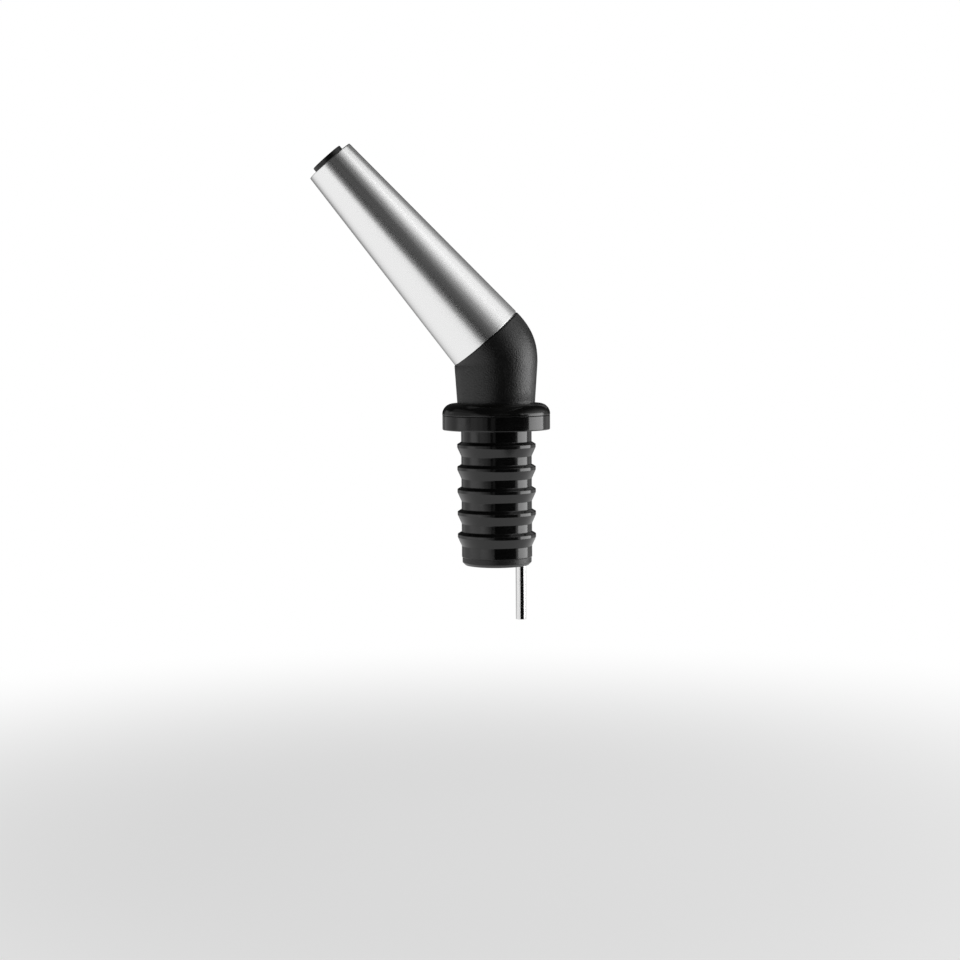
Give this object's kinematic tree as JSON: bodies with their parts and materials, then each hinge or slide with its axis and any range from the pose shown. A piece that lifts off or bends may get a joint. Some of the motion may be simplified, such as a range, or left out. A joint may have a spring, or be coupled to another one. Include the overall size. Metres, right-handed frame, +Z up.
{
  "type": "wine aerator pourer",
  "caption": "Bottle-neck pourer: finned stopper, bent elbow and tapered steel spout with a nozzle that draws air into the wine.",
  "frame": {"origin": "centre of the flange's underside, the face that rests on the bottle's lip", "axes": "+Z up along the stopper's axis, out of the bottle; the spout leans towards -X in the XZ plane"},
  "size_m": [0.0591, 0.027, 0.1188],
  "materials": {
    "sleeve_steel": "turned, fine circumferential brushing",
    "elbow_plastic": "matt black, fine spark-eroded grain",
    "collar_plastic": "glossy black",
    "plug_silicone": "soft black silicone, satin",
    "core_plastic": "smooth moulded black",
    "tube_plastic": "satin moulded black",
    "nozzle_plastic": "smooth moulded dark grey",
    "air_tube_steel": "drawn tube, bright",
    "seal_rubber": "black seal rubber"
  },
  "bodies": {
    "root": {"spout_sleeve": "sleeve_steel", "pour_tube": "tube_plastic", "aerator_nozzle": "nozzle_plastic", "tube_seal": "seal_rubber", "sleeve_o_ring": "seal_rubber", "elbow": "elbow_plastic", "collar": "collar_plastic", "core_o_ring": "seal_rubber", "stopper_core": "core_plastic", "neck_plug": "plug_silicone", "air_tube": "air_tube_steel"}
  },
  "joints": []
}
